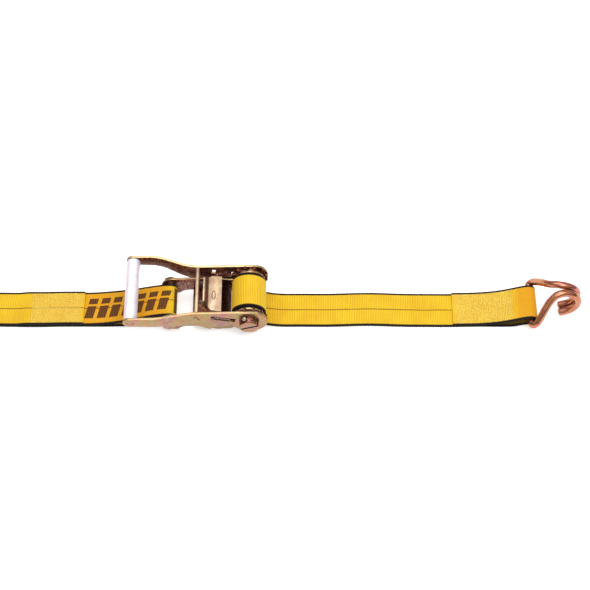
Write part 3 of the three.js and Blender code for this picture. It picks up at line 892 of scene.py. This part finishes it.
def centripetal(points, per_segment):
    """The centripetal Catmull-Rom curve through the points."""
    p = [np.asarray(q, float) for q in points]
    p = [2 * p[0] - p[1]] + p + [2 * p[-1] - p[-2]]
    result = []
    for i in range(1, len(p) - 2):
        d0, d1, d2 = (math.sqrt(np.linalg.norm(p[i + k] - p[i + k - 1])) for k in (0, 1, 2))
        t1 = ((p[i] - p[i - 1]) / d0 - (p[i + 1] - p[i - 1]) / (d0 + d1) + (p[i + 1] - p[i]) / d1) * d1
        t2 = ((p[i + 1] - p[i]) / d1 - (p[i + 2] - p[i]) / (d1 + d2) + (p[i + 2] - p[i + 1]) / d2) * d1
        for t in np.linspace(0, 1, per_segment, endpoint=False):
            result.append(
                (2 * t**3 - 3 * t**2 + 1) * p[i]
                + (t**3 - 2 * t**2 + t) * t1
                + (3 * t**2 - 2 * t**3) * p[i + 1]
                + (t**3 - t**2) * t2
            )
    result.append(p[-2])
    return result


def hook_half(side):
    """One of a hook's two arms, from its blunt tip round the bend and down to the bar in the strap's loop."""
    points = []
    for degrees in range(-75, 76, 30):
        angle = math.radians(degrees)
        points.append((
            HOOK_BEND_X + HOOK_BEND_R * math.cos(angle),
            side * HOOK_WIRE_Y,
            WIRE_R + HOOK_BEND_R + HOOK_BEND_R * math.sin(angle),
        ))
    points += [
        (HOOK_X + 30, side * 8.2, 55),
        (HOOK_X + 22, side * 13, 48.2),
        (HOOK_X + 16, side * 20, 40),
        (HOOK_X + 10.5, side * 27.6, 29),
        (HOOK_X + 6, side * 31.6, 21.5),
        (HOOK_X + 1.8, side * 30.6, 16.6),
        (HOOK_X, side * 22, HOOK_BAR_Z),
    ]
    return points


def build_hook(name, body, node, turn, material):
    """A hook's wire, cut off at both ends with a low dome. It turns to face the other way when turn is -1."""
    line = centripetal(hook_half(1) + [(HOOK_X, 0, HOOK_BAR_Z)] + hook_half(-1)[::-1], 9)
    line = [np.array((turn * q[0], turn * q[1], q[2])) * MM for q in line]
    steps, flatness = 6, 2.2 / WIRE_R
    points, radii = rounded_ends(line, WIRE_R * MM, steps)
    points = np.array(points)
    for dome, tip in ((slice(steps), line[0]), (slice(-steps, None), line[-1])):
        points[dome] = tip + (points[dome] - tip) * flatness
    vertices, faces = tube(points, radii, 20)
    piece = new_piece(name, vertices, faces, material)
    flip_if_inside_out(piece)
    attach(piece, body)
    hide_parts(node)


# ---------------------------------------------------------------- springs, grip and marks


def pawl_matrix(pawl):
    x, z, pitch = pawl
    return Matrix.Translation(Vector((x, 0, z)) * MM) @ Matrix.Rotation(math.radians(pitch), 4, "Y")


def build_spring(name, pawl, start, length, side, material):
    """A coil that runs back from a pawl to its seat, set in place by the pawl's position and pitch."""
    y, count = side * SPRING_Y, SPRING_TURNS * STEPS_PER_TURN
    points = []
    for i in range(count + 1):
        t = i / count
        # The end turns are closed up, as on a ground spring.
        spread = min(max((t - 0.12) / 0.76, 0), 1)
        angle = 2 * math.pi * SPRING_TURNS * t
        x = start - SPRING_WIRE_R - (length - 2 * SPRING_WIRE_R) * (0.10 * t + 0.90 * spread)
        points.append((x * MM, (y + SPRING_R * math.cos(angle)) * MM, SPRING_R * math.sin(angle) * MM))
    piece = new_piece(name, *tube(points, SPRING_WIRE_R * MM, 8), material)
    flip_if_inside_out(piece)
    place = pawl_matrix(pawl)
    piece.data.transform(place)
    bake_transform(piece)
    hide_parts(name.replace("coil", "spring"))


def build_grip(material):
    """A rolled tube with rounded rims, a shallow groove near each end and a closed lengthwise seam below."""
    rim = [(1.2, 0), (0.45, 0.15), (0.1, 0.55), (0, 1.3), (0, 4), (0.12, 4.6), (0.12, 5.2), (0.02, 5.8)]
    profile = [(GRIP_BORE, -GRIP_HALF)] + [(GRIP_R - inset, y - GRIP_HALF) for inset, y in rim]
    profile += [(GRIP_R, y) for y in np.linspace(9 - GRIP_HALF, 0, 6)]
    profile += [(r, -y) for r, y in reversed(profile[:-1])]
    segments = 72
    vertices, faces = [], []
    for r, y in profile:
        for k in range(segments):
            angle = 2 * math.pi * k / segments
            seam = 0.35 * math.exp(-(((math.degrees(angle) - 262) / 2.6) ** 2)) if r > GRIP_R - 1 else 0
            x, z = GRIP_X + (r - seam) * math.cos(angle), GRIP_Z + (r - seam) * math.sin(angle)
            vertices.append((x * MM, y * MM, z * MM))
    count = len(profile)
    for i in range(count):
        j = (i + 1) % count
        for k in range(segments):
            m = (k + 1) % segments
            faces.append((i * segments + k, i * segments + m, j * segments + m, j * segments + k))
    piece = new_piece("grip_tube", vertices, faces, material)
    flip_if_inside_out(piece)
    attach(piece, "handle")
    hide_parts("grip_sleeve")


def slab(outline, place, thick):
    """A low raised shape: an outline of corners, set on a surface by place, with sloping sides."""
    count = len(outline)
    middle = np.mean(outline, axis=0)
    vertices, faces = [], []
    for height, scale in ((-0.3, 1.0), (0.5 * thick, 1.0), (thick, 0.82)):
        for corner in outline:
            flat = middle + (np.array(corner) - middle) * scale
            vertices.append(place @ Vector((flat[0] * MM, flat[1] * MM, height * MM)))
    for level in (0, count):
        for k in range(count):
            m = (k + 1) % count
            faces.append((level + k, level + m, level + count + m, level + count + k))
    faces.append(tuple(range(2 * count, 3 * count)))
    faces.append(tuple(reversed(range(count))))
    return vertices, faces


def build_marks(materials):
    """Plain marks: an arch of three strokes on each arm's outer face, and an oval bead on the drive pawl."""
    left = [(-5.6, -3.0), (-3.4, -3.0), (-1.0, 2.6), (-2.8, 2.6)]
    top = [(-2.2, 3.2), (2.2, 3.2), (2.0, 5.0), (-2.0, 5.0)]
    right = [(-x, y) for x, y in reversed(left)]
    for word, side in (("near", -1), ("far", 1)):
        centre = Vector((ARM_MARK_X, side * ARM_FACE_Y, ARM_MARK_Z)) * MM
        place = Matrix.Translation(centre) @ Matrix.Rotation(-side * math.pi / 2, 4, "X")
        strokes = [slab(outline, place, MARK_THICK) for outline in (left, top, right)]
        piece = new_piece(f"arm_strokes_{word}", *joined(strokes), materials["stamp"])
        flip_if_inside_out(piece)
        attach(piece, "handle")

    oval = []
    for k in range(65):
        angle = 2 * math.pi * k / 64
        oval.append(np.array((-23 + 2.2 * math.cos(angle), -3 + 6.0 * math.sin(angle), 2.0)) * MM)
    bead = new_piece("pawl_bead", *tube(oval, 0.5 * MM, 8), materials["stamp"])
    bead.data.transform(pawl_matrix(DRIVE_PAWL))
    flip_if_inside_out(bead)
    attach(bead, "drive_pawl")


# ---------------------------------------------------------------- the scene

materials = make_materials()
add_camera()
add_world()
add_softbox("key", (0.5, -0.7, 1.9), (0, 0, 0), (1.4, 1.0), 22)
add_softbox("top", (-0.3, 0.5, 2.0), (0, 0, 0), (1.8, 1.2), 16)
dress_metal(materials)
build_load_strap(materials)
build_fixed_strap(materials)
build_roll(materials)
for hook, turn in (("load_hook", 1), ("fixed_hook", -1)):
    build_hook(f"{hook}_wire", hook, hook, turn, materials["hook_zinc"])
steel = materials["spring_steel"]
for word, side in (("near", -1), ("far", 1)):
    build_spring(f"drive_coil_{word}", DRIVE_PAWL, -35, 6.2, side, steel)
    build_spring(f"lock_coil_{word}", LOCK_PAWL, -25, 6.4, side, steel)
build_grip(materials["plated_grip"])
build_marks(materials)

add_floor()
